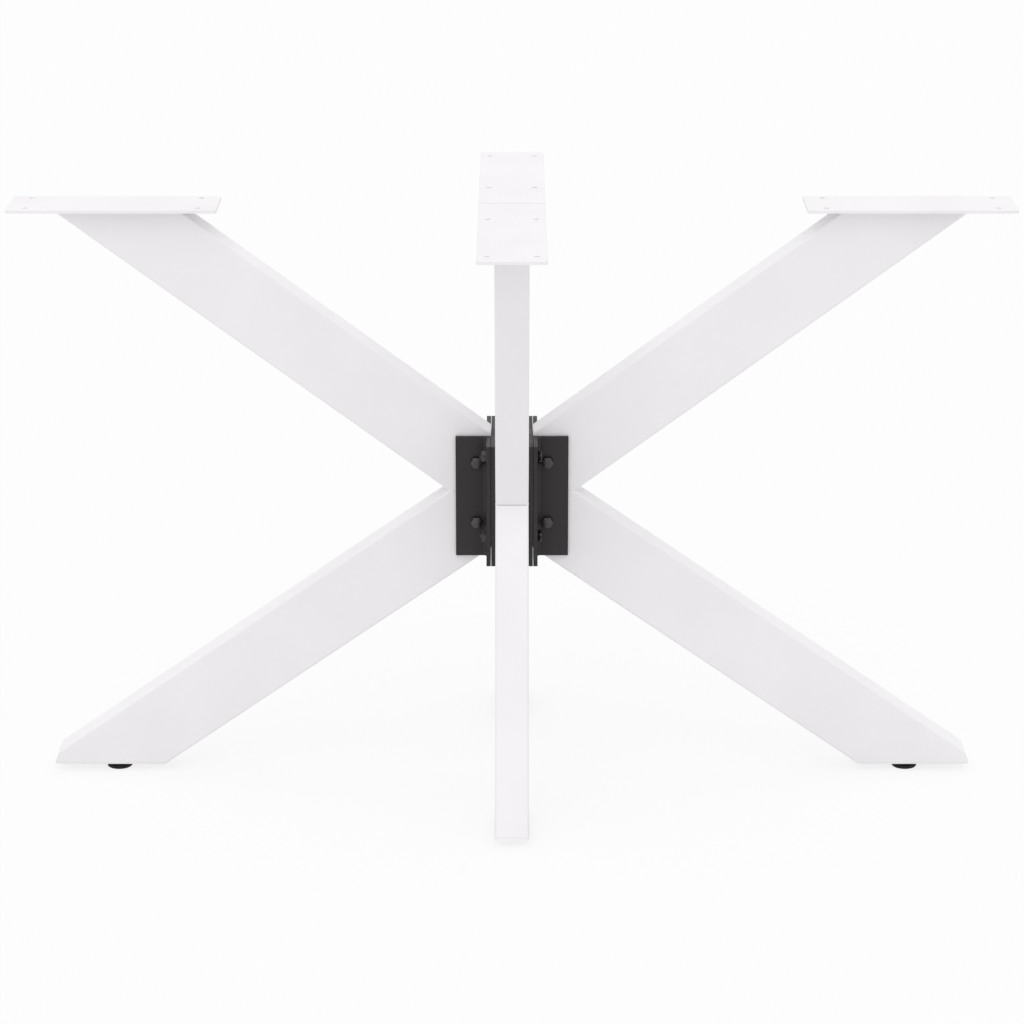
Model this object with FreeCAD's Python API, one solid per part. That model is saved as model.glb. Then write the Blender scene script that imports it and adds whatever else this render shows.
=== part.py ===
import FreeCAD, Part
import math
import os
from FreeCAD import Vector

os.makedirs("parts", exist_ok=True)

# A cross shaped table frame: four V shaped legs of rectangular steel tube on one bolted hub.
# Millimetres, +Z up, the floor at Z = 0 and the centre of the hub on the Z axis.
# A leg is drawn in the XZ plane, where X is its distance from the Z axis, and then turned
# to its place. The right and left legs are the long pair, the front and back legs the short pair.

# Overall size, with the levelling feet screwed fully in
HEIGHT = 720.0
LONG_REACH = 600.0
SHORT_REACH = 300.0

# Tube of the arms: its width lies in the leg's plane, its thickness across it
TUBE_WIDTH = 90.0
TUBE_THICKNESS = 40.0
TUBE_WALL = 2.0
TUBE_CORNER = 3.0

# The V: its notch, where the two arms meet on the outside, and the mitre plane at that height
NOTCH_RADIUS = 77.0
NOTCH_HEIGHT = 366.5
SHORT_END_GAP = 3.0      # between the front and the back leg, inside the hub
LONG_END_CLEARANCE = 0.4  # between the side legs' ends and the hub plates

# Top plates, welded on the upper arms
PLATE_THICKNESS = 4.0
PLATE_WIDTH = 80.0
PLATE_CORNER = 3.0
PLATE_EDGE = 0.5
LONG_PLATE_LENGTH = 250.0
SHORT_PLATE_GAP = 4.0    # between the inner ends of the front and back plates
LONG_ARM_SETBACK = 52.0  # from the plate's outer end to the arm's outer side
SHORT_ARM_SETBACK = 57.0
SCREW_HOLE = 7.0
SCREW_ROW_SPACING = 56.0
SCREW_END_INSET = 23.0
LONG_INNER_HOLE_INSET = 23.0    # from the plate's inner end
SHORT_INNER_HOLE_INSET = 86.0

# Feet: a closing plate, a welded nut, and a levelling foot of a screw and a pad
FOOT_GAP = 9.0           # floor to the foot plate
FOOT_PLATE_THICKNESS = 3.0
LONG_FOOT_INSET = 10.0   # from the leg's reach to the arm's sharp toe
SHORT_FOOT_INSET = 36.0
LONG_TOE_CUT = 18.0      # length taken off the long legs' sharp toe
TOE_LEAN = 21.0          # degrees, of the cut toe off the vertical
TOE_BEND = 3.0           # outer radius of the foot plate's fold
LONG_GLIDE_INSET = 107.5
SHORT_GLIDE_INSET = 87.0
STUD_RADIUS = 4.0
STUD_LENGTH = 34.0
STUD_HOLE_CLEARANCE = 0.5
STUD_COLLAR_HEIGHT = 3.0
STUD_NECK_RADIUS = 3.5
STUD_FLANGE_RADIUS = 6.0
STUD_FLANGE_HEIGHT = 2.0
PAD_RADIUS = 15.5
PAD_RIM_HEIGHT = 3.8
PAD_CROWN_RADIUS = 10.0
PAD_FLOOR = 1.6
PAD_EDGE = 1.0
PAD_CLEARANCE = 0.3      # round the stud's flange and neck, and above and below its collar
PAD_SEAT_CLEARANCE = 0.1

# Hub: two plates clamp the front and back legs, four angles hold the side legs to them
HUB_HEIGHT = 151.0
HUB_DROP = 5.5           # from the mitre plane down to the hub's middle
HUB_REACH = 68.5
HUB_PLATE_THICKNESS = 5.2
ANGLE_THICKNESS = 5.2
ANGLE_ROOT = 4.0         # radius of the rolled angle's inner corner
ANGLE_HEEL = 1.0         # radius of its outer corner
HUB_CORNER = 1.0

# Fasteners, M8
BOLT_RADIUS = 4.0
BOLT_HOLE_CLEARANCE = 0.5
BOLT_DISTANCE = 43.0     # of each bolt from the Z axis
CROSS_BOLT_SPREAD = 76.0  # between the upper and the lower bolts through the side legs
SIDE_BOLT_SPREAD = 100.0  # and through the front and back legs
CROSS_BOLT_LENGTH = 60.0
SIDE_BOLT_LENGTH = 70.0
HEX_ACROSS_FLATS = 13.0
HEX_CHAMFER = 0.9
BOLT_HEAD_HEIGHT = 5.3
NUT_HEIGHT = 6.5
THREAD_CLEARANCE = 0.05  # a nut's bore is plain, and this much wider than its screw
SPACER_RADIUS = 8.0
SPACER_THICKNESS = 0.6

# Worked out from the sizes above
UP = Vector(0, 0, 1)
SIDEWAYS = Vector(0, 1, 0)
OUTWARD = Vector(1, 0, 0)
PLATE_UNDERSIDE = HEIGHT - PLATE_THICKNESS
FOOT_PLATE_TOP = FOOT_GAP + FOOT_PLATE_THICKNESS
HUB_PLATE_INNER = TUBE_THICKNESS / 2
HUB_PLATE_OUTER = HUB_PLATE_INNER + HUB_PLATE_THICKNESS
ANGLE_BACK = HUB_PLATE_OUTER + SPACER_THICKNESS
ANGLE_FACE = ANGLE_BACK + ANGLE_THICKNESS
CROSS_FACE = TUBE_THICKNESS / 2 + ANGLE_THICKNESS
HUB_BOTTOM = NOTCH_HEIGHT - HUB_DROP - HUB_HEIGHT / 2
COLLAR_BOTTOM = FOOT_GAP - PAD_CLEARANCE - STUD_COLLAR_HEIGHT
PAD_TOP = COLLAR_BOTTOM - PAD_CLEARANCE
BOLT_HOLE_RADIUS = BOLT_RADIUS + BOLT_HOLE_CLEARANCE
LONG_END = HUB_PLATE_OUTER + LONG_END_CLEARANCE
SHORT_END = SHORT_END_GAP / 2
MARGIN = TUBE_WIDTH      # by which cutting shapes reach past what they cut

LEG_TURNS = {"right": 0, "back": 90, "left": 180, "front": 270}


def save(name, shape):
    shape.exportStep(f"parts/{name}.step")


def turned(shape, degrees):
    copy = shape.copy()
    copy.rotate(Vector(0, 0, 0), UP, degrees)
    return copy


def rounded_face(origin, along, across, length, width, corner):
    """A rectangle with round corners, from its corner at origin, along two unit vectors."""

    def at(u, v):
        return origin + along * u + across * v

    near = corner * (1 - math.sqrt(0.5))
    far, side = length - corner, width - corner
    edges = [
        Part.LineSegment(at(corner, 0), at(far, 0)),
        Part.Arc(at(far, 0), at(length - near, near), at(length, corner)),
        Part.LineSegment(at(length, corner), at(length, side)),
        Part.Arc(at(length, side), at(length - near, width - near), at(far, width)),
        Part.LineSegment(at(far, width), at(corner, width)),
        Part.Arc(at(corner, width), at(near, width - near), at(0, side)),
        Part.LineSegment(at(0, side), at(0, corner)),
        Part.Arc(at(0, corner), at(near, near), at(corner, 0)),
    ]
    return Part.Face(Part.Wire([edge.toShape() for edge in edges]))


def leg_region(points):
    """A slab across the whole tube, from an outline in the leg's plane."""
    outline = [Vector(x, -TUBE_THICKNESS, z) for x, z in points]
    face = Part.Face(Part.makePolygon(outline + outline[:1]))
    return face.extrude(SIDEWAYS * 2 * TUBE_THICKNESS)


def arm_prism(start, end, inner_side, inset):
    """The tube's outside, or its bore where inset is the wall; start to end is the arm's outer side."""
    direction = (end - start).normalize()
    slope = abs(direction.z) / math.hypot(direction.x, direction.y)
    overrun = TUBE_WIDTH / slope + MARGIN
    across = direction.cross(SIDEWAYS) * inner_side
    corner = start - direction * overrun + across * inset - SIDEWAYS * (TUBE_THICKNESS / 2 - inset)
    section = rounded_face(
        corner, across, SIDEWAYS, TUBE_WIDTH - 2 * inset, TUBE_THICKNESS - 2 * inset, TUBE_CORNER - inset
    )
    return section.extrude(direction * ((end - start).Length + 2 * overrun))


def bolt_heights(spread):
    return [NOTCH_HEIGHT - spread / 2, NOTCH_HEIGHT + spread / 2]


def bolt_places(spread):
    """Where a set of four bolts crosses the hub: distance to the side of the Z axis, and height."""
    return [(across, z) for across in (-BOLT_DISTANCE, BOLT_DISTANCE) for z in bolt_heights(spread)]


def bolt_holes(axis, distance, spread):
    """Clearance holes for a pair of bolts at one distance from the Z axis, along Y or X."""
    reach = HUB_REACH * axis
    across = Vector(distance, 0, 0) if axis.y else Vector(0, distance, 0)
    holes = [
        Part.makeCylinder(BOLT_HOLE_RADIUS, 2 * HUB_REACH, across + UP * height - reach, axis)
        for height in bolt_heights(spread)
    ]
    return Part.makeCompound(holes)


def upper_arm(reach, setback, end, bolt_spread):
    notch = Vector(NOTCH_RADIUS, 0, NOTCH_HEIGHT)
    head = Vector(reach - setback, 0, PLATE_UNDERSIDE)
    region = leg_region([
        (end, NOTCH_HEIGHT),
        (reach + MARGIN, NOTCH_HEIGHT),
        (reach + MARGIN, PLATE_UNDERSIDE),
        (end, PLATE_UNDERSIDE),
    ])
    outside = arm_prism(notch, head, 1, 0).common(region)
    bore = arm_prism(notch, head, 1, TUBE_WALL)
    return outside.cut(bore).cut(bolt_holes(SIDEWAYS, BOLT_DISTANCE, bolt_spread))


def foot_region(end, toe, lean, bottom):
    """What lies below the mitre plane, above bottom, and inside of a toe cut leaning inwards."""
    height = NOTCH_HEIGHT - bottom
    return leg_region([
        (end, bottom),
        (toe, bottom),
        (toe - height * math.tan(math.radians(lean)), NOTCH_HEIGHT),
        (end, NOTCH_HEIGHT),
    ])


def lower_arm_and_foot_plate(foot_tip, toe_cut, glide, end, bolt_spread):
    """The arm ends on the inside of the foot plate, which is folded up where the toe is cut."""
    notch = Vector(NOTCH_RADIUS, 0, NOTCH_HEIGHT)
    tip = Vector(foot_tip, 0, FOOT_GAP)
    outside = arm_prism(notch, tip, -1, 0)
    bore = arm_prism(notch, tip, -1, TUBE_WALL)
    if toe_cut:
        lean = math.radians(TOE_LEAN)
        toe = foot_tip - toe_cut
        inner_toe = toe - FOOT_PLATE_THICKNESS / math.cos(lean) - FOOT_PLATE_THICKNESS * math.tan(lean)
        outer_region = foot_region(end, toe, TOE_LEAN, FOOT_GAP)
        fold = [
            edge for edge in outer_region.Edges
            if edge.CenterOfMass.distanceToPoint(Vector(toe, 0, FOOT_GAP)) < 1e-6
        ]
        outer_region = outer_region.makeFillet(TOE_BEND, fold)
        inner_region = foot_region(end, inner_toe, TOE_LEAN, FOOT_PLATE_TOP)
    else:
        outer_region = foot_region(end, foot_tip + MARGIN, 0, FOOT_GAP)
        inner_region = foot_region(end, foot_tip + MARGIN, 0, FOOT_PLATE_TOP)
    arm = outside.common(inner_region).cut(bore).cut(bolt_holes(SIDEWAYS, BOLT_DISTANCE, bolt_spread))
    stud_hole = Part.makeCylinder(STUD_RADIUS + STUD_HOLE_CLEARANCE, FOOT_PLATE_TOP, Vector(glide, 0, 0))
    foot_plate = outside.common(outer_region).cut(inner_region).cut(stud_hole)
    return arm, foot_plate


def top_plate(outer_end, length, inner_hole_inset):
    origin = Vector(outer_end - length, -PLATE_WIDTH / 2, PLATE_UNDERSIDE)
    face = rounded_face(origin, OUTWARD, SIDEWAYS, length, PLATE_WIDTH, PLATE_CORNER)
    plate = face.extrude(UP * PLATE_THICKNESS)
    flat = [
        edge for edge in plate.Edges
        if edge.BoundBox.ZLength < PLATE_EDGE / 2 and edge.BoundBox.ZMin > HEIGHT - PLATE_EDGE / 2
    ]
    plate = plate.makeChamfer(PLATE_EDGE, flat)
    for x in (outer_end - length + inner_hole_inset, outer_end - SCREW_END_INSET):
        for y in (-SCREW_ROW_SPACING / 2, SCREW_ROW_SPACING / 2):
            hole = Part.makeCylinder(SCREW_HOLE / 2, PLATE_THICKNESS, Vector(x, y, PLATE_UNDERSIDE))
            plate = plate.cut(hole)
    return plate


def hexagon(height, chamfered_ends):
    """A hexagonal head or nut standing on Z = 0, with its corners turned off at the named ends."""
    corner = HEX_ACROSS_FLATS / math.sqrt(3)
    points = [
        Vector(corner * math.cos(math.radians(60 * k)), corner * math.sin(math.radians(60 * k)), 0)
        for k in range(6)
    ]
    solid = Part.Face(Part.makePolygon(points + points[:1])).extrude(UP * height)
    flat = HEX_ACROSS_FLATS / 2 - HEX_CHAMFER / 4
    drop = (corner - flat) * math.tan(math.radians(30))
    low = drop if "bottom" in chamfered_ends else 0
    high = drop if "top" in chamfered_ends else 0
    profile = [
        Vector(0, 0, 0),
        Vector(flat if low else corner, 0, 0),
        Vector(corner, 0, low),
        Vector(corner, 0, height - high),
        Vector(flat if high else corner, 0, height),
        Vector(0, 0, height),
    ]
    kept = [p for k, p in enumerate(profile) if k == 0 or p.distanceToPoint(profile[k - 1]) > 1e-6]
    turned_blank = Part.Face(Part.makePolygon(kept + kept[:1])).revolve(Vector(0, 0, 0), UP, 360)
    return solid.common(turned_blank)


def hex_bolt(length):
    """A bolt along +Z with the underside of its head at Z = 0."""
    head = hexagon(BOLT_HEAD_HEIGHT, ["top"])
    head.rotate(Vector(0, 0, 0), OUTWARD, 180)
    shank = Part.makeCylinder(BOLT_RADIUS, length)
    shank = shank.makeChamfer(HEX_CHAMFER, [shank.Edges[0]])
    return head.fuse(shank).removeSplitter()


def hex_nut(screw_radius):
    nut = hexagon(NUT_HEIGHT, ["bottom", "top"])
    return nut.cut(Part.makeCylinder(screw_radius + THREAD_CLEARANCE, NUT_HEIGHT))


def placed(shape, origin, direction):
    """Turns a shape made along +Z to a direction and moves it to origin."""
    copy = shape.copy()
    copy.Placement = FreeCAD.Placement(origin, FreeCAD.Rotation(UP, direction))
    return copy


def foot_pad(glide):
    """A moulded disc with a pocket that holds the screw's flange."""
    pocket_radius = STUD_FLANGE_RADIUS + PAD_CLEARANCE
    neck_radius = STUD_NECK_RADIUS + PAD_CLEARANCE
    pocket_top = PAD_FLOOR + PAD_SEAT_CLEARANCE + STUD_FLANGE_HEIGHT + PAD_CLEARANCE
    outline = [
        Vector(0, 0, 0),
        Vector(PAD_RADIUS, 0, 0),
        Vector(PAD_RADIUS, 0, PAD_RIM_HEIGHT),
        Vector(PAD_CROWN_RADIUS, 0, PAD_TOP),
        Vector(neck_radius, 0, PAD_TOP),
        Vector(neck_radius, 0, pocket_top),
        Vector(pocket_radius, 0, pocket_top),
        Vector(pocket_radius, 0, PAD_FLOOR),
        Vector(0, 0, PAD_FLOOR),
    ]
    pad = Part.Face(Part.makePolygon(outline + outline[:1])).revolve(Vector(0, 0, 0), UP, 360)
    rims = [edge for edge in pad.Edges if edge.BoundBox.XMax > PAD_RADIUS - PAD_EDGE / 2 and edge.isClosed()]
    pad = pad.makeChamfer(PAD_EDGE, rims)
    pad.translate(Vector(glide, 0, 0))
    return pad


def foot_stud(glide):
    """The screw of a levelling foot: flange, neck, hexagonal collar and thread in one piece."""
    bottom = PAD_FLOOR + PAD_SEAT_CLEARANCE
    flange = Part.makeCylinder(STUD_FLANGE_RADIUS, STUD_FLANGE_HEIGHT, Vector(0, 0, bottom))
    neck = Part.makeCylinder(STUD_NECK_RADIUS, COLLAR_BOTTOM - bottom, Vector(0, 0, bottom))
    collar = hexagon(STUD_COLLAR_HEIGHT, ["top"])
    collar.translate(UP * COLLAR_BOTTOM)
    thread = Part.makeCylinder(STUD_RADIUS, STUD_LENGTH + STUD_COLLAR_HEIGHT, Vector(0, 0, COLLAR_BOTTOM))
    thread = thread.makeChamfer(HEX_CHAMFER, [thread.Edges[0]])
    stud = flange.fuse([neck, collar, thread]).removeSplitter()
    stud.translate(Vector(glide, 0, 0))
    return stud


def foot_nut(glide):
    nut = hex_nut(STUD_RADIUS)
    nut.translate(Vector(glide, 0, FOOT_PLATE_TOP))
    return nut


def leg(name):
    """All pieces of one leg, in the leg's own plane."""
    long_leg = name in ("left", "right")
    reach = LONG_REACH if long_leg else SHORT_REACH
    end = LONG_END if long_leg else SHORT_END
    glide = reach - (LONG_GLIDE_INSET if long_leg else SHORT_GLIDE_INSET)
    foot_tip = reach - (LONG_FOOT_INSET if long_leg else SHORT_FOOT_INSET)
    plate_length = LONG_PLATE_LENGTH if long_leg else SHORT_REACH - SHORT_PLATE_GAP / 2
    bolt_spread = CROSS_BOLT_SPREAD if long_leg else SIDE_BOLT_SPREAD
    toe_cut = LONG_TOE_CUT if long_leg else 0
    arm, foot_plate = lower_arm_and_foot_plate(foot_tip, toe_cut, glide, end, bolt_spread)
    return {
        "upper_arm": upper_arm(reach, LONG_ARM_SETBACK if long_leg else SHORT_ARM_SETBACK, end, bolt_spread),
        "lower_arm": arm,
        "top_plate": top_plate(
            reach, plate_length, LONG_INNER_HOLE_INSET if long_leg else SHORT_INNER_HOLE_INSET
        ),
        "foot_plate": foot_plate,
        "foot_nut": foot_nut(glide),
        "foot_pad": foot_pad(glide),
        "foot_stud": foot_stud(glide),
    }


def hub_plate(side):
    """One of the two plates along the front and back legs; side is 1 on the right and -1 on the left."""
    origin = Vector(HUB_PLATE_INNER, -HUB_REACH, HUB_BOTTOM)
    face = rounded_face(origin, SIDEWAYS, UP, 2 * HUB_REACH, HUB_HEIGHT, HUB_CORNER)
    plate = face.extrude(OUTWARD * HUB_PLATE_THICKNESS)
    for distance in (-BOLT_DISTANCE, BOLT_DISTANCE):
        plate = plate.cut(bolt_holes(OUTWARD, distance, SIDE_BOLT_SPREAD))
    return plate if side > 0 else turned(plate, 180)


def angle():
    """The rolled angle in the quarter where X and Y are positive."""
    near = TUBE_THICKNESS / 2
    points = [
        Vector(ANGLE_BACK, near, HUB_BOTTOM),
        Vector(HUB_REACH, near, HUB_BOTTOM),
        Vector(HUB_REACH, CROSS_FACE, HUB_BOTTOM),
        Vector(ANGLE_FACE, CROSS_FACE, HUB_BOTTOM),
        Vector(ANGLE_FACE, HUB_REACH, HUB_BOTTOM),
        Vector(ANGLE_BACK, HUB_REACH, HUB_BOTTOM),
    ]
    section = Part.Face(Part.makePolygon(points + points[:1]))
    rolled = section.extrude(UP * HUB_HEIGHT)
    for corner, radius in ((points[0], ANGLE_HEEL), (points[3], ANGLE_ROOT)):
        upright = [
            edge for edge in rolled.Edges
            if edge.CenterOfMass.distanceToPoint(corner + UP * HUB_HEIGHT / 2) < 1e-6
        ]
        rolled = rolled.makeFillet(radius, upright)
    ends = [
        edge for edge in rolled.Edges
        if abs(edge.Length - ANGLE_THICKNESS) < 1e-6 and edge.BoundBox.ZLength < 1e-6
    ]
    rolled = rolled.makeFillet(HUB_CORNER, ends)
    side_holes = bolt_holes(OUTWARD, BOLT_DISTANCE, SIDE_BOLT_SPREAD)
    return rolled.cut(bolt_holes(SIDEWAYS, BOLT_DISTANCE, CROSS_BOLT_SPREAD)).cut(side_holes)


def mirrored(shape, flip_x, flip_y):
    copy = shape
    if flip_x:
        copy = copy.mirror(Vector(0, 0, 0), OUTWARD)
    if flip_y:
        copy = copy.mirror(Vector(0, 0, 0), SIDEWAYS)
    return copy


def group(shapes):
    return Part.makeCompound(shapes)


for leg_name, turn in LEG_TURNS.items():
    for piece, solid in leg(leg_name).items():
        save(f"{leg_name}_{piece}", turned(solid, turn))

save("hub_plate_right", hub_plate(1))
save("hub_plate_left", hub_plate(-1))
for y_name, flip_y in (("front", True), ("back", False)):
    for x_name, flip_x in (("left", True), ("right", False)):
        save(f"hub_angle_{y_name}_{x_name}", mirrored(angle(), flip_x, flip_y))

# The cross bolts run from front to back through the side legs, the side bolts from right to left
# through the front and back legs.
cross_places = bolt_places(CROSS_BOLT_SPREAD)
side_places = bolt_places(SIDE_BOLT_SPREAD)
cross_bolt = hex_bolt(CROSS_BOLT_LENGTH)
side_bolt = hex_bolt(SIDE_BOLT_LENGTH)
nut = hex_nut(BOLT_RADIUS)
spacer = Part.makeCylinder(SPACER_RADIUS, SPACER_THICKNESS).cut(
    Part.makeCylinder(BOLT_HOLE_RADIUS, SPACER_THICKNESS)
)
save("hub_cross_bolts", group(
    [placed(cross_bolt, Vector(x, -CROSS_FACE, z), SIDEWAYS) for x, z in cross_places]
))
save("hub_cross_nuts", group(
    [placed(nut, Vector(x, CROSS_FACE, z), SIDEWAYS) for x, z in cross_places]
))
save("hub_side_bolts", group(
    [placed(side_bolt, Vector(ANGLE_FACE, y, z), OUTWARD * -1) for y, z in side_places]
))
save("hub_side_nuts", group(
    [placed(nut, Vector(-ANGLE_FACE, y, z), OUTWARD * -1) for y, z in side_places]
))
save("hub_spacers", group(
    [
        placed(spacer, Vector(side * HUB_PLATE_OUTER, y, z), OUTWARD * side)
        for side in (-1, 1)
        for y, z in side_places
    ]
))
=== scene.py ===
import math
import random

import bmesh
import bpy
from mathutils import Matrix, Vector


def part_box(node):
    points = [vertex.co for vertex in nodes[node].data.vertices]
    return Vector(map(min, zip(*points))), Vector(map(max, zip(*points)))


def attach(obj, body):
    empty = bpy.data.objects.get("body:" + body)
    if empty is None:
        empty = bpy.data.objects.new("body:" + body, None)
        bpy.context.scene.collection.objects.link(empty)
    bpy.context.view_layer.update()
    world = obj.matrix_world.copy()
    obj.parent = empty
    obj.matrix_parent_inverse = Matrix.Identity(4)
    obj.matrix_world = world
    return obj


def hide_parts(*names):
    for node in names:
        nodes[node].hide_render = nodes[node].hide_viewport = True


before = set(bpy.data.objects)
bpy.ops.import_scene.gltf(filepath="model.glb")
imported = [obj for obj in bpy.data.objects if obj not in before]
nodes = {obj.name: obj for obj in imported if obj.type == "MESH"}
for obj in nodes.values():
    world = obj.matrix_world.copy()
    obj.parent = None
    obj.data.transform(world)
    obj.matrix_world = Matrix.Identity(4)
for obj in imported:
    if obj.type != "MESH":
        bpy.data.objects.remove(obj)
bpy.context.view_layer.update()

# The studio: a pale floor in a white surround, soft lamps and the camera. Seen from above, the
# floor lets most of the surround's white through and keeps a share of its own shading, which
# holds the frame's soft shadow. Seen from below it is clear, so that the undersides show.
FLOOR_SIZE = 60.0
FLOOR_COLOUR = (0.85, 0.85, 0.85, 1)
FLOOR_CLEAR_SHARE = 0.8
SURROUND_WHITE = (1, 1, 1, 1)
SURROUND_LIGHT = 0.815  # its strength as a light; where it is seen directly it has a strength of 1


def add_object(name, data):
    made = bpy.data.objects.new(name, data)
    bpy.context.scene.collection.objects.link(made)
    return made


def set_values(node, values):
    for socket, value in values.items():
        node.inputs[socket].default_value = value


def add_node(tree, kind, values=None, **settings):
    """A shader node with its settings, and with values for inputs that nothing feeds."""
    made = tree.nodes.new(kind)
    for setting, value in settings.items():
        setattr(made, setting, value)
    set_values(made, values or {})
    return made


def join(tree, *links):
    """Links each output to the input that stands beside it."""
    for start, end in links:
        tree.links.new(start, end)


def shown_directly(tree):
    """1 for a ray that the viewer sees by itself, in a mirror or through glass, 0 for lighting."""
    path = add_node(tree, "ShaderNodeLightPath")
    total = path.outputs["Is Camera Ray"]
    for ray in ("Is Glossy Ray", "Is Transmission Ray"):
        either = add_node(tree, "ShaderNodeMath", operation="MAXIMUM")
        join(tree, (total, either.inputs[0]), (path.outputs[ray], either.inputs[1]))
        total = either.outputs[0]
    return total


floor_shape = bmesh.new()
bmesh.ops.create_grid(floor_shape, x_segments=1, y_segments=1, size=FLOOR_SIZE / 2)
floor = add_object("floor", bpy.data.meshes.new("floor"))
floor_shape.to_mesh(floor.data)
floor_shape.free()
floor_paint = bpy.data.materials.new("floor_white")
floor_paint.use_nodes = True
floor_tree = floor_paint.node_tree
floor_surface = floor_tree.nodes["Principled BSDF"]
set_values(floor_surface, {"Base Color": FLOOR_COLOUR, "Roughness": 1.0, "Specular IOR Level": 0.0})
floor_clear = add_node(floor_tree, "ShaderNodeBsdfTransparent")
floor_share = add_node(floor_tree, "ShaderNodeMath", {1: FLOOR_CLEAR_SHARE}, operation="MULTIPLY")
floor_side = add_node(floor_tree, "ShaderNodeNewGeometry")
floor_either = add_node(floor_tree, "ShaderNodeMath", operation="MAXIMUM")
floor_mix = add_node(floor_tree, "ShaderNodeMixShader")
join(
    floor_tree,
    (shown_directly(floor_tree), floor_share.inputs[0]),
    (floor_share.outputs[0], floor_either.inputs[0]),
    (floor_side.outputs["Backfacing"], floor_either.inputs[1]),
    (floor_either.outputs[0], floor_mix.inputs[0]),
    (floor_surface.outputs[0], floor_mix.inputs[1]),
    (floor_clear.outputs[0], floor_mix.inputs[2]),
    (floor_mix.outputs[0], floor_tree.nodes["Material Output"].inputs["Surface"]),
)
floor.data.materials.append(floor_paint)

surround = bpy.data.worlds.new("white_surround")
surround.use_nodes = True
bpy.context.scene.world = surround
surround_tree = surround.node_tree
surround_back = surround_tree.nodes["Background"]
set_values(surround_back, {"Color": SURROUND_WHITE})
surround_level = add_node(
    surround_tree, "ShaderNodeMapRange", {"To Min": SURROUND_LIGHT, "To Max": 1.0}
)
join(
    surround_tree,
    (shown_directly(surround_tree), surround_level.inputs["Value"]),
    (surround_level.outputs[0], surround_back.inputs["Strength"]),
)


def soft_lamp(name, place, spread, strength):
    """A distant lamp that shines from place on the hub; spread is its width in degrees."""
    lamp = bpy.data.lights.new(name, "SUN")
    lamp.angle = math.radians(spread)
    lamp.energy = strength
    lamp_object = add_object(name, lamp)
    lamp_object.location = place
    lamp_object.rotation_euler = Vector(place).to_track_quat("Z", "Y").to_euler()


soft_lamp("lamp_front", place=(-0.5, -2.5, 2.4), spread=50, strength=0.35)
soft_lamp("lamp_top", place=(0.0, -0.4, 3.6), spread=80, strength=0.6)

CAMERA_DISTANCE = 4.0
CAMERA_HEIGHT = 1.602
CAMERA_PITCH = math.radians(17.6)
SENSOR_WIDTH = 36.0
FOCAL_SHARE = 3.338  # focal length over the picture's width
camera_data = bpy.data.cameras.new("camera")
camera_data.sensor_width = SENSOR_WIDTH
camera_data.lens = FOCAL_SHARE * SENSOR_WIDTH
camera_data.clip_end = FLOOR_SIZE
camera = add_object("camera", camera_data)
camera.location = (0, -CAMERA_DISTANCE, CAMERA_HEIGHT)
camera.rotation_euler = (math.pi / 2 - CAMERA_PITCH, 0, 0)
bpy.context.scene.camera = camera
bpy.context.scene.view_settings.view_transform = "Standard"

# The arms: rectangular steel tube with round corners, mitred and welded into a V at the hub.
# They are powder coated white, a satin film with a faint orange peel that pools a little
# unevenly over the large flat sides.
LEGS = {
    "right": Vector((1, 0, 0)),
    "back": Vector((0, 1, 0)),
    "left": Vector((-1, 0, 0)),
    "front": Vector((0, -1, 0)),
}
WHITE_FILM = (0.862, 0.844, 0.862, 1)
WHITE_FILM_THIN = (0.837, 0.819, 0.837, 1)

# What every finish shares: a slow drift between two tones and two degrees of gloss, and a grain
PATCH_DETAIL = 4
PATCH_LOW = 0.35  # noise levels at which the drift reaches its two ends
PATCH_HIGH = 0.65
GRAIN_DETAIL = 2
drift = bpy.data.node_groups.new("film_drift_and_grain", "ShaderNodeTree")
for in_out, sockets in (
    ("INPUT", {
        "Tone A": "Color", "Tone B": "Color", "Patch Scale": "Float",
        "Smoothest": "Float", "Roughest": "Float",
        "Grain Scale": "Float", "Grain Height": "Float",
    }),
    ("OUTPUT", {"Colour": "Color", "Roughness": "Float", "Normal": "Vector"}),
):
    for socket, kind in sockets.items():
        drift.interface.new_socket(name=socket, in_out=in_out, socket_type="NodeSocket" + kind)
drift_in = drift.nodes.new("NodeGroupInput")
drift_out = drift.nodes.new("NodeGroupOutput")
on_piece = add_node(drift, "ShaderNodeTexCoord")
patches = add_node(drift, "ShaderNodeTexNoise", {"Detail": PATCH_DETAIL})
patch_range = add_node(
    drift, "ShaderNodeMapRange", {"From Min": PATCH_LOW, "From Max": PATCH_HIGH}
)
tone = add_node(drift, "ShaderNodeMix", data_type="RGBA")
gloss = add_node(drift, "ShaderNodeMapRange")
grain = add_node(drift, "ShaderNodeTexNoise", {"Detail": GRAIN_DETAIL})
relief = add_node(drift, "ShaderNodeBump", {"Strength": 1.0})
join(
    drift,
    (on_piece.outputs["Object"], patches.inputs["Vector"]),
    (on_piece.outputs["Object"], grain.inputs["Vector"]),
    (drift_in.outputs["Patch Scale"], patches.inputs["Scale"]),
    (drift_in.outputs["Grain Scale"], grain.inputs["Scale"]),
    (patches.outputs[0], patch_range.inputs["Value"]),
    (patch_range.outputs[0], tone.inputs["Factor"]),
    (drift_in.outputs["Tone A"], tone.inputs["A"]),
    (drift_in.outputs["Tone B"], tone.inputs["B"]),
    (patch_range.outputs[0], gloss.inputs["Value"]),
    (drift_in.outputs["Smoothest"], gloss.inputs["To Min"]),
    (drift_in.outputs["Roughest"], gloss.inputs["To Max"]),
    (grain.outputs[0], relief.inputs["Height"]),
    (drift_in.outputs["Grain Height"], relief.inputs["Distance"]),
    (tone.outputs["Result"], drift_out.inputs["Colour"]),
    (gloss.outputs[0], drift_out.inputs["Roughness"]),
    (relief.outputs[0], drift_out.inputs["Normal"]),
)


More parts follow.
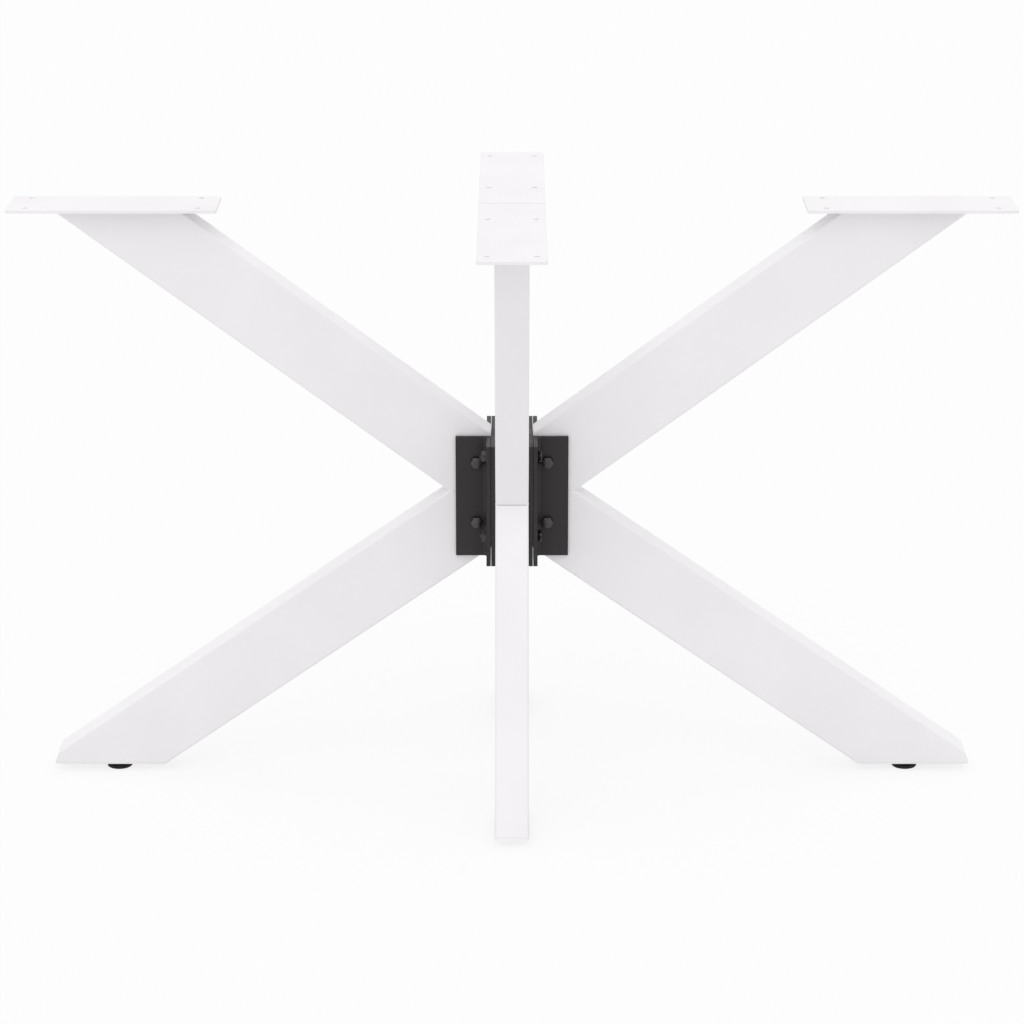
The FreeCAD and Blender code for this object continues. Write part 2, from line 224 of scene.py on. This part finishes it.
def finish(
    name, tone_a, tone_b, patch, smoothest, roughest, grain_size, grain_height,
    metallic=0.0, specular=0.5,
):
    """A material on the shared drift and grain; patch and grain sizes are lengths on the piece."""
    made = bpy.data.materials.new(name)
    made.use_nodes = True
    tree = made.node_tree
    surface = tree.nodes["Principled BSDF"]
    set_values(surface, {"Metallic": metallic, "Specular IOR Level": specular})
    look_values = {
        "Tone A": tone_a, "Tone B": tone_b, "Patch Scale": 1 / patch,
        "Smoothest": smoothest, "Roughest": roughest,
        "Grain Scale": 1 / grain_size, "Grain Height": grain_height,
    }
    look = add_node(tree, "ShaderNodeGroup", look_values, node_tree=drift)
    join(
        tree,
        (look.outputs["Colour"], surface.inputs["Base Color"]),
        (look.outputs["Roughness"], surface.inputs["Roughness"]),
        (look.outputs["Normal"], surface.inputs["Normal"]),
    )
    return made


def coat_node(name, material):
    """Gives a CAD node its finish."""
    nodes[name].data.materials.clear()
    nodes[name].data.materials.append(material)


white_coat = finish(
    "white_powder_coat", WHITE_FILM, WHITE_FILM_THIN, patch=0.12,
    smoothest=0.36, roughest=0.46, grain_size=0.0028, grain_height=0.00003,
)

# Painted shade: beside the weld in the corner of each V the white is coloured dark grey, where the
# crease lies in shade; this painted shade leaves out the ends of that corner, at the tubes' round
# edges
CORNER_PAINTED_SHADE = (0.22, 0.21, 0.22, 1)
CORNER_WIDTH = 0.0011  # how far the painted shade reaches from the corner along each arm
TUBE_ROUNDING = 0.003
ON_PLANE = 1e-5  # a point nearer to a plane than this lies on it
low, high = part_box("right_upper_arm")
mitre_height = low.z
flat_edge = high.y - TUBE_ROUNDING
arm_points = [vert.co for vert in nodes["right_upper_arm"].data.vertices]
corner_reach = max(point.x for point in arm_points if point.z < mitre_height + ON_PLANE)
arm_coat = white_coat.copy()
arm_coat.name = "white_powder_coat_on_arms"
arm_tree = arm_coat.node_tree
on_arm = add_node(arm_tree, "ShaderNodeTexCoord")
mirrored = add_node(arm_tree, "ShaderNodeVectorMath", operation="ABSOLUTE")
sides = add_node(arm_tree, "ShaderNodeSeparateXYZ")
outward_reach = add_node(arm_tree, "ShaderNodeMath", operation="MAXIMUM")
in_section = add_node(arm_tree, "ShaderNodeCombineXYZ")
corner = (corner_reach, 0, mitre_height)
from_corner = add_node(arm_tree, "ShaderNodeVectorMath", {1: corner}, operation="DISTANCE")
across = add_node(arm_tree, "ShaderNodeMath", operation="MINIMUM")
between_edges = add_node(arm_tree, "ShaderNodeMapRange", {
    "From Min": flat_edge, "From Max": flat_edge + TUBE_ROUNDING / 2, "To Min": 1.0, "To Max": 0.0,
})
# The painted crease shade: full up to half its width from the corner line, none at its full width
painted_crease_shade = add_node(arm_tree, "ShaderNodeMapRange", {
    "From Min": CORNER_WIDTH / 2, "From Max": CORNER_WIDTH, "To Max": 0.0,
})
corner_tone = add_node(arm_tree, "ShaderNodeMix", {"B": CORNER_PAINTED_SHADE}, data_type="RGBA")
join(
    arm_tree,
    (on_arm.outputs["Object"], mirrored.inputs[0]),
    (mirrored.outputs["Vector"], sides.inputs[0]),
    (sides.outputs["X"], outward_reach.inputs[0]),
    (sides.outputs["Y"], outward_reach.inputs[1]),
    (outward_reach.outputs[0], in_section.inputs["X"]),
    (sides.outputs["Z"], in_section.inputs["Z"]),
    (in_section.outputs[0], from_corner.inputs[0]),
    (sides.outputs["X"], across.inputs[0]),
    (sides.outputs["Y"], across.inputs[1]),
    (across.outputs[0], between_edges.inputs["Value"]),
    (from_corner.outputs["Value"], painted_crease_shade.inputs["Value"]),
    (between_edges.outputs[0], painted_crease_shade.inputs["To Min"]),
    (painted_crease_shade.outputs[0], corner_tone.inputs["Factor"]),
    (arm_tree.nodes["Group"].outputs["Colour"], corner_tone.inputs["A"]),
    (corner_tone.outputs["Result"], arm_tree.nodes["Principled BSDF"].inputs["Base Color"]),
)
for leg in LEGS:
    coat_node(f"{leg}_upper_arm", arm_coat)
    coat_node(f"{leg}_lower_arm", arm_coat)

# The mitre welds: each V is welded where its two arms meet and dressed flat where the hub
# clamps it, so that only the bead in the notch and round the corners beside it stands out.
# It is coated with the arms.
MITRE_BEAD = 0.0005  # radius, as for the other beads
BEAD_STEP = 0.0006
BEAD_ROUNDNESS = 2  # the curve's bevel resolution
RIPPLE_STEPS = 4
RIPPLE_DEPTH = 0.13
RIPPLE_SCATTER = 0.04
RIPPLE_SEED = 11
CLAMP_CLEARANCE = 0.001
CUT_MARGIN = 0.0002  # how far from a tube's end its outline is taken
UP = Vector((0, 0, 1))
MERGE_DISTANCE = 1e-6  # points nearer to each other than this are one
SHORTEST_SPAN = 1e-9
ripples = random.Random(RIPPLE_SEED)


def merged_copy(node):
    """A CAD node's mesh with its loose triangles joined."""
    shape = bmesh.new()
    shape.from_mesh(nodes[node].data)
    bmesh.ops.remove_doubles(shape, verts=shape.verts, dist=MERGE_DISTANCE)
    return shape


def cut_across(shape, place, normal, **options):
    """Cuts all of a shape by the plane at place; the options say which side goes."""
    everything = shape.verts[:] + shape.edges[:] + shape.faces[:]
    bmesh.ops.bisect_plane(shape, geom=everything, plane_co=place, plane_no=normal, **options)


def level_outline(node, height):
    """Where a level plane cuts a tube, its outer outline as points in order."""
    section = merged_copy(node)
    cut_across(section, UP * height, UP, clear_inner=True, clear_outer=True)
    bmesh.ops.remove_doubles(section, verts=section.verts, dist=MERGE_DISTANCE)
    first = max(section.verts, key=lambda vert: vert.co.xy.length)
    outline, last, current = [], None, first
    while not outline or current is not first:
        outline.append(current.co.copy())
        neighbours = [edge.other_vert(current) for edge in current.link_edges]
        ahead = [vert for vert in neighbours if vert is not last]
        last, current = current, ahead[0]
    section.free()
    return outline


def even_steps(points, closed, step):
    """The same line with points at even steps along it."""
    spans = list(zip(points, points[1:] + points[:1] if closed else points[1:]))
    lengths = [(end - start).length for start, end in spans]
    total = sum(lengths)
    count = round(total / step)
    line, walked, span = [], 0.0, 0
    for k in range(count if closed else count + 1):
        distance = total * k / count
        while span < len(spans) - 1 and walked + lengths[span] < distance:
            walked += lengths[span]
            span += 1
        share = (distance - walked) / max(lengths[span], SHORTEST_SPAN)
        start, end = spans[span]
        line.append(start.lerp(end, min(1.0, share)))
    return line


def weld_bead(name, points, closed, radius):
    """A rippled round bead along a line, made as a curve and turned into a mesh."""
    line = even_steps(points, closed, BEAD_STEP)
    path = bpy.data.curves.new(name, "CURVE")
    path.dimensions = "3D"
    path.bevel_depth = radius
    path.bevel_resolution = BEAD_ROUNDNESS
    path.use_fill_caps = not closed
    spline = path.splines.new("POLY")
    spline.points.add(len(line) - 1)
    spline.use_cyclic_u = closed
    for k, (point, place) in enumerate(zip(spline.points, line)):
        wave = (k % RIPPLE_STEPS) / RIPPLE_STEPS
        scatter = ripples.uniform(-RIPPLE_SCATTER, RIPPLE_SCATTER)
        point.co = (*place, 1)
        point.radius = 1 + RIPPLE_DEPTH * (wave - 0.5) + scatter
    soft = add_object(name, path)
    bpy.context.view_layer.update()
    finished = soft.evaluated_get(bpy.context.evaluated_depsgraph_get())
    shape = bpy.data.meshes.new_from_object(finished)
    bpy.data.objects.remove(soft)
    shape.name = name
    shape.materials.clear()
    shape.materials.append(white_coat)
    shape.shade_smooth()
    bead = add_object(name, shape)
    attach(bead, "frame")


clamp_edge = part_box("hub_angle_back_right")[1].x + CLAMP_CLEARANCE
for leg, outward in LEGS.items():
    outline = level_outline(f"{leg}_upper_arm", mitre_height + CUT_MARGIN)
    free = [point.dot(outward) > clamp_edge for point in outline]
    start = next(k for k in range(len(outline)) if free[k] and not free[k - 1])
    turned_round = outline[start:] + outline[:start]
    run = [point for point in turned_round if point.dot(outward) > clamp_edge]
    ends = [point + outward * (clamp_edge - point.dot(outward)) for point in (run[0], run[-1])]
    weld_bead(f"{leg}_mitre_weld", [ends[0], *run, ends[1]], closed=False, radius=MITRE_BEAD)

# The top plates: flat bars with rounded corners and four screw holes for the table top.
# Each lies on its upper arm and is held by a fillet weld all round the tube, in the corner
# under the plate. Plate and weld are coated with the arms.
PLATE_BEAD = 0.0022
PLATE_BEAD_DROP = PLATE_BEAD / 3  # of the bead's middle below the tube's end
drop = Vector((0, 0, -PLATE_BEAD_DROP))
plate_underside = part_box("right_top_plate")[0].z
for leg in LEGS:
    coat_node(f"{leg}_top_plate", white_coat)
    outline = level_outline(f"{leg}_upper_arm", plate_underside - CUT_MARGIN)
    lowered = [point + drop for point in outline]
    weld_bead(f"{leg}_plate_weld", lowered, closed=True, radius=PLATE_BEAD)

# The foot plates: steel strips that close the lower arms, folded up over the cut toe on the
# long legs and welded round the tube's end. The seam is dressed nearly flush and coated.
SEAM_BEAD = 0.0006
foot_plate_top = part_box("front_foot_plate")[1].z
for leg in LEGS:
    coat_node(f"{leg}_foot_plate", white_coat)
    outline = level_outline(f"{leg}_lower_arm", foot_plate_top + CUT_MARGIN)
    weld_bead(f"{leg}_foot_seam", outline, closed=True, radius=SEAM_BEAD)

# The foot nuts: plain hexagonal steel nuts, zinc plated, welded on the inside of the foot plates
# before these close the tubes. The levelling screws run in them.
ZINC_LIGHT = (0.66, 0.67, 0.68, 1)
ZINC_DULL = (0.5, 0.51, 0.53, 1)
zinc = finish(
    "zinc_plate", ZINC_LIGHT, ZINC_DULL, patch=0.003,
    smoothest=0.28, roughest=0.42, grain_size=0.0004, grain_height=0.000006, metallic=1.0,
)
for leg in LEGS:
    coat_node(f"{leg}_foot_nut", zinc)

# The levelling screws: zinc plated steel, with a flange held in the pad, a hexagonal collar to
# turn them by and a rolled M8 thread of 1.25 mm pitch up into the foot nut.
PITCH = 0.00125
ROOT_FLAT = PITCH / 4
CREST_FLAT = PITCH / 8
FLANK = (PITCH - ROOT_FLAT - CREST_FLAT) / 2
THREAD_DEPTH = 0.6134 * PITCH  # as on any metric bolt
STEPS_IN_A_TURN = 24
TIP_TAPER = 0.82
TIP_LENGTH = 0.0008
SCREW_RADIUS = 0.004
COLLAR_HEIGHT = 0.003
COLLAR_GAP = 0.0003  # between the pad and the collar above it
SINK = 0.0005  # how far a thread's core runs into the plain part that carries it
CUT_TOLERANCE = 1e-7
SHARP_ANGLE = math.radians(32)


def profile_line(shape, points):
    """A line through points in the XZ plane, to be spun round Z, as its vertices and edges."""
    line = [shape.verts.new((across_z, 0, height)) for across_z, height in points]
    return line + [shape.edges.new(pair) for pair in zip(line, line[1:])]


def open_edges(shape):
    return [edge for edge in shape.edges if edge.is_boundary]


def threaded_core(shape, middle, direction, start, length, radius):
    """Adds a thread from start along direction, cut level at its root and tapered at its tip."""
    thread = bmesh.new()
    root = radius - THREAD_DEPTH
    tooth = [
        (root, 0), (root, ROOT_FLAT), (radius, ROOT_FLAT + FLANK), (radius, PITCH - FLANK),
        (root, PITCH),
    ]
    turns = math.ceil(length / PITCH + 2)
    bmesh.ops.spin(
        thread, geom=profile_line(thread, tooth), cent=(0, 0, 0), axis=UP,
        dvec=(0, 0, PITCH / STEPS_IN_A_TURN), angle=2 * math.pi * turns,
        steps=STEPS_IN_A_TURN * turns, use_merge=False,
    )
    bmesh.ops.remove_doubles(thread, verts=thread.verts, dist=MERGE_DISTANCE)
    top = PITCH + length - TIP_LENGTH
    cut_across(thread, UP * PITCH, UP, dist=CUT_TOLERANCE, clear_inner=True)
    cut_across(thread, UP * top, UP, dist=CUT_TOLERANCE, clear_outer=True)
    top_rim = [edge for edge in open_edges(thread) if edge.verts[0].co.z > PITCH + length / 2]
    tip = bmesh.ops.extrude_edge_only(thread, edges=top_rim)
    tip_points = [item for item in tip["geom"] if isinstance(item, bmesh.types.BMVert)]
    bmesh.ops.scale(thread, verts=tip_points, vec=(TIP_TAPER, TIP_TAPER, 1))
    bmesh.ops.translate(thread, verts=tip_points, vec=(0, 0, TIP_LENGTH))
    bmesh.ops.holes_fill(thread, edges=open_edges(thread), sides=0)
    to_root = Matrix.Translation((0, 0, -PITCH))
    turn = UP.rotation_difference(direction).to_matrix().to_4x4()
    shift = Matrix.Translation(middle + direction * start)
    bmesh.ops.transform(thread, verts=thread.verts, matrix=shift @ turn @ to_root)
    bmesh.ops.recalc_face_normals(thread, faces=thread.faces)
    part = bpy.data.meshes.new("thread")
    thread.to_mesh(part)
    thread.free()
    shape.from_mesh(part)
    bpy.data.meshes.remove(part)


def plain_part(node, cut_at, direction):
    """A merged copy of a CAD node up to a plane across direction, closed there."""
    shape = merged_copy(node)
    cut_across(shape, direction * cut_at, direction, dist=CUT_TOLERANCE, clear_outer=True)
    bmesh.ops.holes_fill(shape, edges=open_edges(shape), sides=0)
    return shape


def floor_middle(low, high):
    """The point on the floor under the middle of a box."""
    return Vector(((low.x + high.x) / 2, (low.y + high.y) / 2, 0))


def finished_piece(name, shape, material, body):
    """A piece of one material that rides on a body; its flat faces meet in sharp edges."""
    mesh = bpy.data.meshes.new(name)
    shape.to_mesh(mesh)
    shape.free()
    mesh.materials.append(material)
    mesh.shade_smooth()
    mesh.set_sharp_from_angle(angle=SHARP_ANGLE)
    piece = add_object(name, mesh)
    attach(piece, body)
    return piece


for leg in LEGS:
    node = f"{leg}_foot_stud"
    low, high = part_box(node)
    collar_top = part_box(f"{leg}_foot_pad")[1].z + COLLAR_GAP + COLLAR_HEIGHT
    length = high.z - collar_top + SINK
    screw = plain_part(node, collar_top, UP)
    threaded_core(screw, floor_middle(low, high), UP, collar_top - SINK, length, SCREW_RADIUS)
    piece = finished_piece(f"{leg}_levelling_screw", screw, zinc, f"{leg}_screw")
    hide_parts(node)

# The foot pads: low discs moulded in black plastic with a fine matt grain, snapped over the
# screw's flange. The underside has a shallow recess inside the ring that stands on the floor.
PAD_BLACK = (0.011, 0.011, 0.012, 1)
PAD_SCUFFED = (0.02, 0.02, 0.021, 1)
PAD_STEPS = 48
PAD_ROUNDING = 0.0009
PAD_ROUNDING_STEPS = 4
PAD_RECESS = 0.0003
PAD_RECESS_RADIUS = 0.0095
PAD_RIM_HEIGHT = 0.0038
PAD_CROWN_RADIUS = 0.010
PAD_NECK = 0.0038
PAD_POCKET = 0.0063
PAD_POCKET_FLOOR = 0.0016
PAD_POCKET_TOP = 0.004
ON_RIM = 1e-5  # a point nearer to the pad's largest radius than this lies on its rim
pad_plastic = finish(
    "black_plastic", PAD_BLACK, PAD_SCUFFED, patch=0.006,
    smoothest=0.5, roughest=0.66, grain_size=0.0005, grain_height=0.00002, specular=0.2,
)
for leg in LEGS:
    node = f"{leg}_foot_pad"
    low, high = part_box(node)
    pad_radius = (high.x - low.x) / 2
    profile = [
        (0, PAD_RECESS), (PAD_RECESS_RADIUS, PAD_RECESS), (PAD_RECESS_RADIUS + PAD_RECESS, 0),
        (pad_radius, 0), (pad_radius, PAD_RIM_HEIGHT),
        (PAD_CROWN_RADIUS, high.z), (PAD_NECK, high.z),
        (PAD_NECK, PAD_POCKET_TOP), (PAD_POCKET, PAD_POCKET_TOP), (PAD_POCKET, PAD_POCKET_FLOOR),
        (0, PAD_POCKET_FLOOR),
    ]
    pad = bmesh.new()
    bmesh.ops.spin(
        pad, geom=profile_line(pad, profile), cent=(0, 0, 0), axis=UP,
        angle=2 * math.pi, steps=PAD_STEPS, use_merge=True,
    )
    bmesh.ops.remove_doubles(pad, verts=pad.verts, dist=MERGE_DISTANCE)
    bmesh.ops.recalc_face_normals(pad, faces=pad.faces)
    rims = [
        edge for edge in pad.edges
        if all(vert.co.xy.length > pad_radius - ON_RIM for vert in edge.verts)
        and abs(edge.verts[0].co.z - edge.verts[1].co.z) < MERGE_DISTANCE
    ]
    bmesh.ops.bevel(
        pad, geom=rims, offset=PAD_ROUNDING, segments=PAD_ROUNDING_STEPS,
        profile=0.5, affect="EDGES", material=-1,
    )
    bmesh.ops.translate(pad, verts=pad.verts, vec=floor_middle(low, high))
    piece = finished_piece(f"{leg}_pad", pad, pad_plastic, f"{leg}_glide")
    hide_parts(node)

# The hub's plates and angles: flat bar and rolled angle steel that clamps the four mitred ends,
# cut to length, drilled and powder coated black with a fine texture. The plates lie along the
# front and back legs, and the angles hold the side legs to them.
BLACK_FILM = (0.0155, 0.0122, 0.0134, 1)
BLACK_FILM_THIN = (0.0205, 0.0168, 0.018, 1)
black_coat = finish(
    "black_powder_coat", BLACK_FILM, BLACK_FILM_THIN, patch=0.03,
    smoothest=0.42, roughest=0.55, grain_size=0.0009, grain_height=0.00005, specular=0.4,
)
for side in ("left", "right"):
    coat_node(f"hub_plate_{side}", black_coat)
    coat_node(f"hub_angle_front_{side}", black_coat)
    coat_node(f"hub_angle_back_{side}", black_coat)

# The hub's fasteners: M8 hexagon bolts with rolled threads, their nuts, and the washers that
# keep the plates and angles apart. All are steel in black zinc with a slight sheen.
BLACK_ZINC = (0.064, 0.061, 0.064, 1)
BLACK_ZINC_WARM = (0.09, 0.085, 0.083, 1)
BOLT_RADIUS = 0.004
THREADED_LENGTH = 0.022
FACET_CORNERS = 8  # only the filled end of a cut shank has more
BOLT_DIRECTIONS = {"hub_cross_bolts": Vector((0, 1, 0)), "hub_side_bolts": Vector((-1, 0, 0))}
black_zinc = finish(
    "black_zinc", BLACK_ZINC, BLACK_ZINC_WARM, patch=0.004,
    smoothest=0.3, roughest=0.42, grain_size=0.0004, grain_height=0.000008, metallic=1.0,
)
for name in ("hub_cross_nuts", "hub_side_nuts", "hub_spacers"):
    coat_node(name, black_zinc)
for node, direction in BOLT_DIRECTIONS.items():
    low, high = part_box(node)
    cut_at = max(low.dot(direction), high.dot(direction)) - THREADED_LENGTH
    bolts = plain_part(node, cut_at, direction)
    filled = [face for face in bolts.faces if len(face.verts) > FACET_CORNERS]
    ends = [face.calc_center_bounds() for face in filled]
    middles = [
        end - direction * cut_at for end in ends if abs(end.dot(direction) - cut_at) < ON_PLANE
    ]
    for middle in middles:
        threaded_core(bolts, middle, direction, cut_at - SINK, THREADED_LENGTH + SINK, BOLT_RADIUS)
    piece = finished_piece(node + "_threaded", bolts, black_zinc, "frame")
    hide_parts(node)
